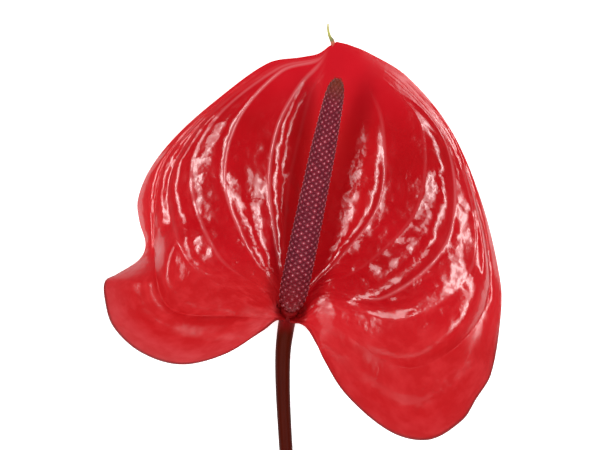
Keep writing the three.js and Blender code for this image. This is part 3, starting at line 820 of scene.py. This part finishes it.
def floret_tree():
    """Sets flowers in staggered rows round a curve as thick as its radius, on a core along it."""
    tree = new_tree(
        "floret_rows", ("Flower", "Object"), ("Rows", "Int"), ("Per Row", "Int"),
        ("Full Radius", "Float"), ("Opening Rows", "Float"), ("Shut Share", "Float"),
        ("Shut Height", "Float"), ("Core Sides", "Int"), ("Seed", "Int"), ("Skin", "Material"))
    wire = tree.links.new

    def node(kind, operation=None, **values):
        """A node with its inputs set by name, or by number after an underscore."""
        made = tree.nodes.new(kind)
        if operation:
            made.operation = operation
        for key, value in values.items():
            name = int(key[1:]) if key[1:].isdigit() else key.replace("_", " ")
            socket = made.inputs[name]
            if isinstance(value, bpy.types.NodeSocket):
                wire(value, socket)
            else:
                socket.default_value = value
        return made

    def value(kind, first, second=0.0):
        return node("ShaderNodeMath", kind, _0=first, _1=second).outputs[0]

    def vector(kind, first, second):
        return node("ShaderNodeVectorMath", kind, _0=first, _1=second).outputs[0]

    def scaled(one, by):
        return node("ShaderNodeVectorMath", "SCALE", _0=one, Scale=by).outputs[0]

    # Where each flower stands: its row along the spike, and its turn in the row.
    given = tree.nodes.new("NodeGroupInput").outputs
    index = node("GeometryNodeInputIndex").outputs[0]
    row = value("FLOOR", value("DIVIDE", value("ADD", index, 0.5), given["Per Row"]))
    place = value("SUBTRACT", index, value("MULTIPLY", row, given["Per Row"]))
    share = value("DIVIDE", value("ADD", row, 0.5), given["Rows"])
    stagger = value("MULTIPLY", value("MODULO", row, 2.0), 0.5)
    turn = value("DIVIDE", value("ADD", place, stagger), given["Per Row"])
    angle = value("MULTIPLY", turn, 2 * math.pi)
    radius = node("GeometryNodeInputRadius").outputs[0]
    sample = tree.nodes.new("GeometryNodeSampleCurve")
    sample.mode = "FACTOR"
    sample.use_all_curves = True
    wire(given["Geometry"], sample.inputs["Curves"])
    wire(radius, sample.inputs["Value"])
    wire(share, sample.inputs["Factor"])
    thick, centre, forward, normal = [
        sample.outputs[name] for name in ("Value", "Position", "Tangent", "Normal")]
    around = vector("CROSS_PRODUCT", forward, normal)
    outward = vector(
        "ADD", scaled(normal, value("COSINE", angle)), scaled(around, value("SINE", angle)))
    points = node(
        "GeometryNodePoints", Count=value("MULTIPLY", given["Rows"], given["Per Row"]),
        Position=vector("ADD", centre, scaled(outward, thick)))
    # It faces outwards. It is narrower on the thin part, and flatter at the foot and at the tip.
    turned = node("FunctionNodeAxesToRotation", Primary_Axis=outward, Secondary_Axis=forward)
    turned.primary_axis = "Z"
    turned.secondary_axis = "X"
    shut = value("DIVIDE", value("SUBTRACT", 1.0, share), given["Shut Share"])
    opening = value("DIVIDE", row, given["Opening Rows"])
    height = value("MINIMUM", value("MINIMUM", 1.0, shut), opening)
    height = value("MAXIMUM", height, given["Shut Height"])
    width = value("DIVIDE", thick, given["Full Radius"])
    size = node("ShaderNodeCombineXYZ", X=1.0, Y=width, Z=height)
    flower = node("GeometryNodeObjectInfo", Object=given["Flower"])
    spread = node(
        "GeometryNodeInstanceOnPoints", Points=points.outputs[0],
        Instance=flower.outputs["Geometry"], Rotation=turned.outputs[0], Scale=size.outputs[0])

    def keep(geometry, name, field, domain):
        kept = tree.nodes.new("GeometryNodeStoreNamedAttribute")
        kept.domain = domain
        kept.inputs["Name"].default_value = name
        wire(geometry, kept.inputs["Geometry"])
        wire(field, kept.inputs["Value"])
        return kept.outputs[0]

    # The core is a plain tube, and every point keeps what the skin needs to know.
    chance = node("FunctionNodeRandomValue", Seed=given["Seed"])
    flowers = keep(spread.outputs[0], "along", share, "INSTANCE")
    flowers = keep(flowers, "tone", chance.outputs[1], "INSTANCE")
    factor = node("GeometryNodeSplineParameter").outputs[0]
    along = keep(given["Geometry"], "along", factor, "POINT")
    section = node(
        "GeometryNodeCurvePrimitiveCircle", Resolution=given["Core Sides"], Radius=1.0)
    core = node(
        "GeometryNodeCurveToMesh", Curve=along, Profile_Curve=section.outputs[0],
        Scale=radius, Fill_Caps=True)
    smooth = node("GeometryNodeSetShadeSmooth", Geometry=core.outputs[0])
    both = tree.nodes.new("GeometryNodeJoinGeometry")
    wire(flowers, both.inputs[0])
    wire(smooth.outputs[0], both.inputs[0])
    realize = node("GeometryNodeRealizeInstances", Geometry=both.outputs[0])
    skin = node("GeometryNodeSetMaterial", Geometry=realize.outputs[0], Material=given["Skin"])
    made = tree.nodes.new("NodeGroupOutput")
    wire(skin.outputs[0], made.inputs[0])
    return tree


flower = bpy.data.objects.new("floret", floret())
spadix_skin, nodes, links, shader = new_skin("spadix_skin")
modifier = line.modifiers.new("florets", "NODES")
modifier.node_group = floret_tree()
set_inputs(modifier, **{
    "Flower": flower, "Rows": FLORET_ROWS, "Per Row": FLORETS_PER_ROW,
    "Full Radius": FULL_RADIUS * MM, "Opening Rows": OPENING_ROWS, "Shut Share": SHUT_SHARE,
    "Shut Height": SHUT_HEIGHT, "Core Sides": CORE_SIDES, "Seed": FLOWER_SEED,
    "Skin": spadix_skin})
spadix = made_plain("spadix_spike", line)
bpy.data.objects.remove(flower)
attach(spadix, "root")
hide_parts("spadix")

# The spadix's skin is maroon, a little different from flower to flower, crimson at the foot and
# olive at the tip. Painted shade darkens the grooves between the flowers; the stigmas are pale
# pink.
MAROON_DARK = (0.130, 0.0070, 0.0180)
MAROON = (0.210, 0.0125, 0.0270)
GROOVE_SHADE_MAROON = (0.040, 0.0010, 0.0050)
STIGMA_PINK = (0.46, 0.17, 0.20)
CRIMSON = (0.165, 0.0025, 0.0050)
OLIVE = (0.150, 0.022, 0.012)
SPADIX_ROUGHNESS = 0.34
SPADIX_SPECULAR = 0.12
PORE_SCALE = 2500
PORE = (0.8, 0.0001)                     # strength, and depth in metres

at_foot = ramp(attribute("along"), (0.02, 1.0), (0.25, 0.0))
paleness = times(
    ramp(attribute("stigma"), (0.3, 0.0), (0.7, 1.0)),
    ramp(attribute("tone"), (0.1, 0.45), (0.9, 1.0)))
paleness = times(paleness, ramp(at_foot, (0.0, 1.0), (1.0, 0.6)))
tone = ramp(attribute("tone"), (0.0, MAROON_DARK), (1.0, MAROON))
tone = blend(at_foot, tone, CRIMSON)
# painted shade in the grooves between the flowers
tone = blend(ramp(attribute("groove"), (0.0, 0.0), (1.0, 0.8)), tone, GROOVE_SHADE_MAROON)
tone = blend(paleness, tone, STIGMA_PINK)
tone = blend(ramp(attribute("along"), (0.9, 0.0), (0.98, 1.0)), tone, OLIVE)
links.new(tone, shader.inputs["Base Color"])
shader.inputs["Roughness"].default_value = SPADIX_ROUGHNESS
shader.inputs["Specular IOR Level"].default_value = SPADIX_SPECULAR
links.new(bump(noise(PORE_SCALE, 2), *PORE), shader.inputs["Normal"])

# ---------- Table and light ----------
# A white table that glows a little, a broad panel and a narrow strip on each side, a panel beyond
# the stalk, and a pale room, darker overhead. Places and sizes are in metres.
TABLE_REACH = 3.0
TABLE_WHITE = (0.9, 0.9, 0.9, 1)
TABLE_ROUGHNESS = 0.8
TABLE_GLOW = 0.75
LIGHT_AIM = (0, 0.12, 0)
LIGHTS = [                               # name, place, size, watts
    ("left_panel", (-0.43, 0.15, 0.84), (0.75, 0.30), 4.0),
    ("right_panel", (0.43, 0.15, 0.84), (0.75, 0.30), 4.0),
    ("left_strip", (-0.40, 0.15, 0.78), (0.4, 0.08), 1.5),
    ("right_strip", (0.40, 0.15, 0.78), (0.4, 0.08), 1.5),
    ("foot_panel", (0, -0.35, 0.8), (0.5, 0.2), 2.6),
]
ROOM = [(0.0, 0.4), (0.45, 0.13), (0.8, 0.03), (0.95, 0.0)]     # how high up, how bright

floor_mesh = bpy.data.meshes.new("table")
corners = [(x * TABLE_REACH, y * TABLE_REACH, 0) for x, y in ((-1, -1), (1, -1), (1, 1), (-1, 1))]
floor_mesh.from_pydata(corners, [], [(0, 1, 2, 3)])
floor = bpy.data.objects.new("table", floor_mesh)
bpy.context.collection.objects.link(floor)
table_white, nodes, links, shader = new_skin("table_white")
shader.inputs["Base Color"].default_value = TABLE_WHITE
shader.inputs["Roughness"].default_value = TABLE_ROUGHNESS
shader.inputs["Emission Color"].default_value = (1, 1, 1, 1)
shader.inputs["Emission Strength"].default_value = TABLE_GLOW
floor_mesh.materials.append(table_white)

for name, place, size, watts in LIGHTS:
    light = bpy.data.lights.new(name, "AREA")
    light.shape = "RECTANGLE"
    light.size, light.size_y = size
    light.energy = watts
    lamp = bpy.data.objects.new(name, light)
    lamp.location = place
    lamp.rotation_euler = (Vector(LIGHT_AIM) - Vector(place)).to_track_quat("-Z", "Y").to_euler()
    bpy.context.collection.objects.link(lamp)

world = bpy.data.worlds.new("room")
world.use_nodes = True
nodes, links = world.node_tree.nodes, world.node_tree.links
upwards = nodes.new("ShaderNodeSeparateXYZ")
links.new(nodes.new("ShaderNodeTexCoord").outputs["Generated"], upwards.inputs[0])
links.new(ramp(upwards.outputs["Z"], *ROOM), nodes["Background"].inputs["Color"])
bpy.context.scene.world = world
bpy.context.scene.view_settings.view_transform = "Standard"
